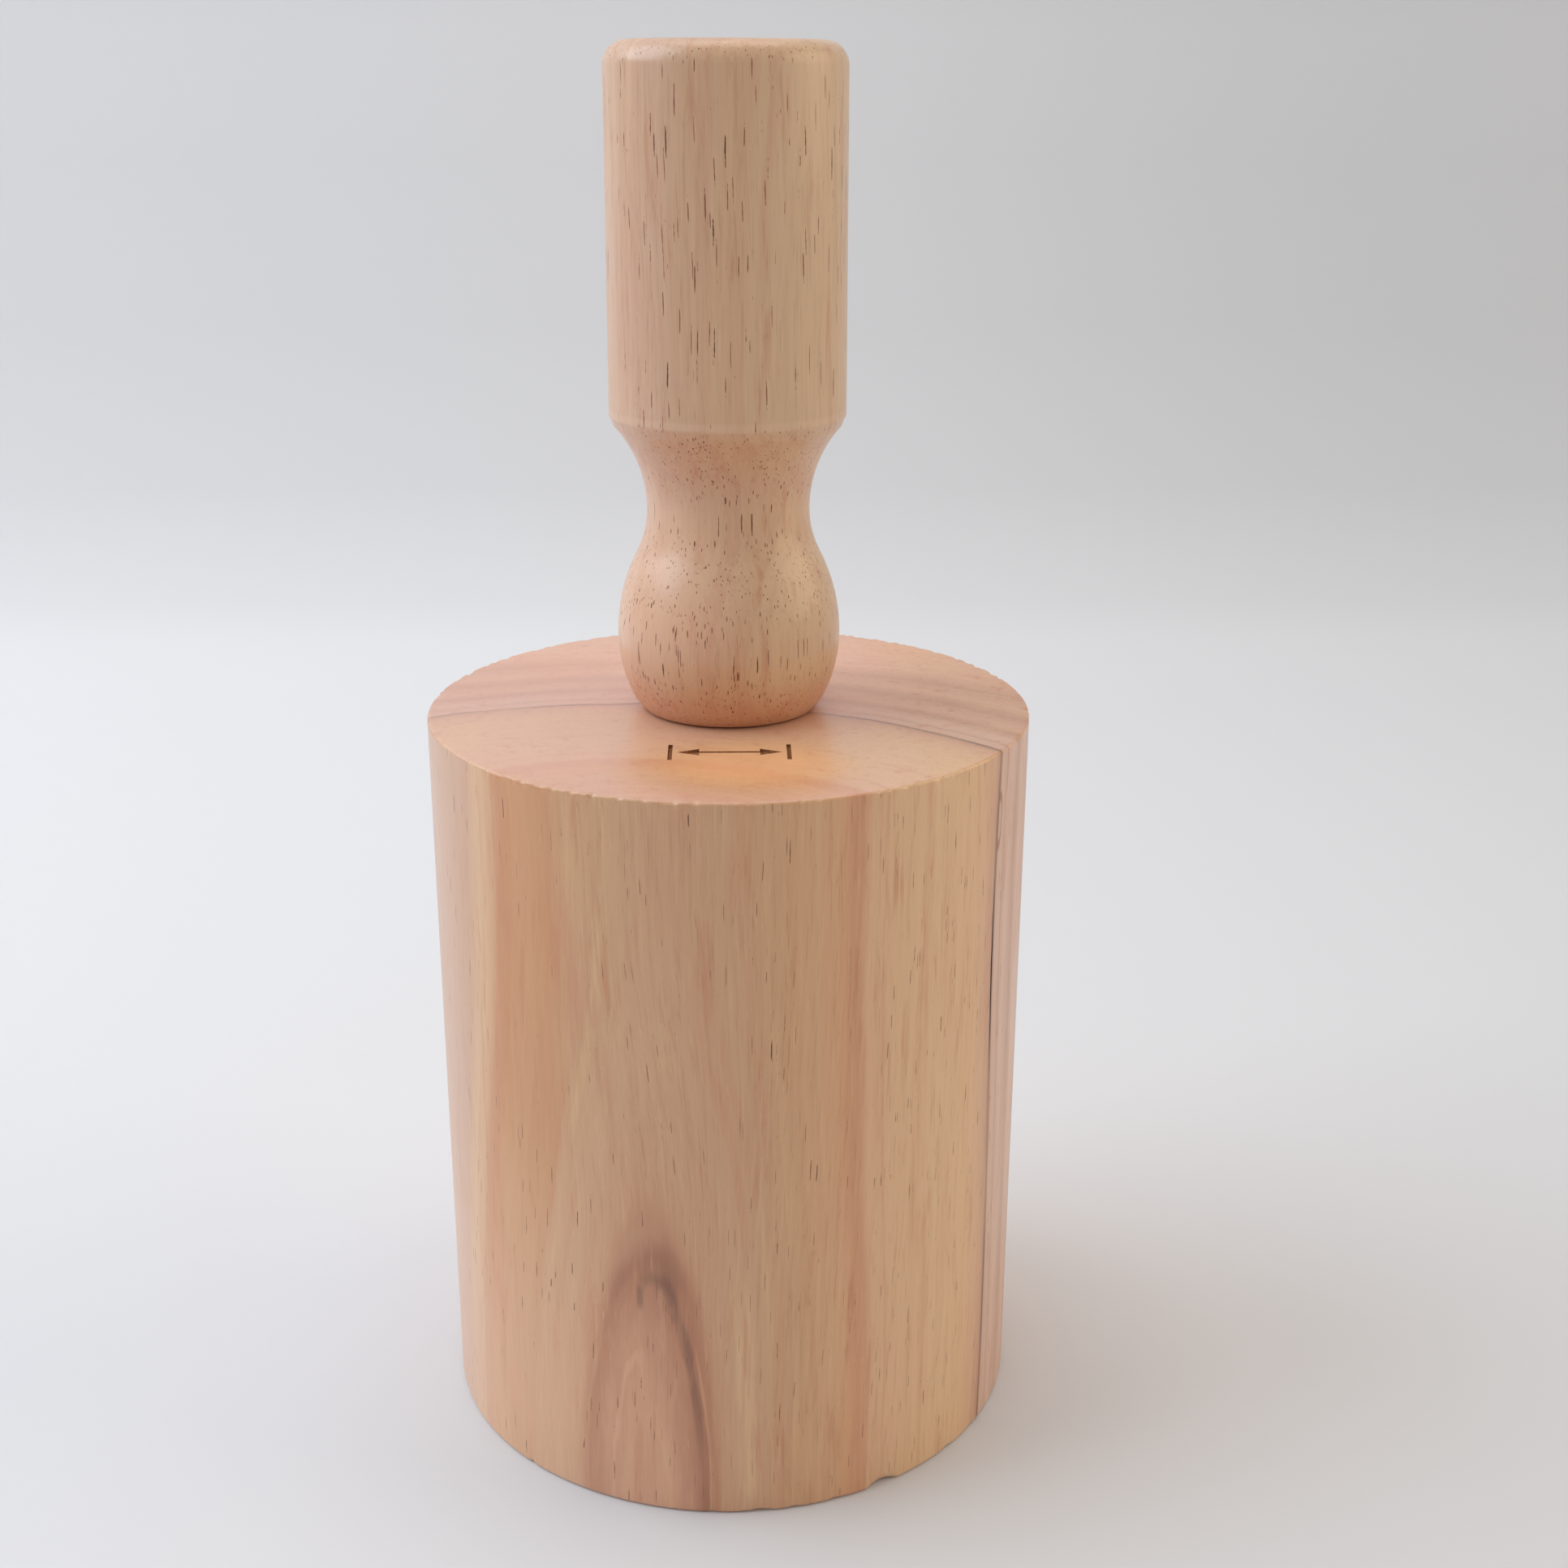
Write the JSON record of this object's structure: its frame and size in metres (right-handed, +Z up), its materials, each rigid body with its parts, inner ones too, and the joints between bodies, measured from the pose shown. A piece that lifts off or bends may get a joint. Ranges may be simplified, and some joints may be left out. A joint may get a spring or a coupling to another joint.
{
  "type": "wooden hand mallet",
  "caption": "Turned wooden hand mallet: a solid cylindrical head that stands on its flat striking face, with a waisted handle rising from its centre.",
  "frame": {"origin": "centre of the striking face, the flat underside of the head", "axes": "+Z up along the handle; -Y towards the side of the head's top that carries the engraved size mark; +X completes a right-handed frame"},
  "size_m": [0.0864, 0.0864, 0.1974],
  "materials": {
    "head_wood": "pale straight-grained hardwood under a clear semi-gloss lacquer",
    "handle_wood": "pale hardwood with short dark pores under a clear semi-gloss lacquer",
    "dowel_wood": "unfinished, with pressed glue flutes"
  },
  "bodies": {
    "root": {"mallet_head": "head_wood", "turned_handle": "handle_wood", "dowel_pin": "dowel_wood"}
  },
  "joints": []
}
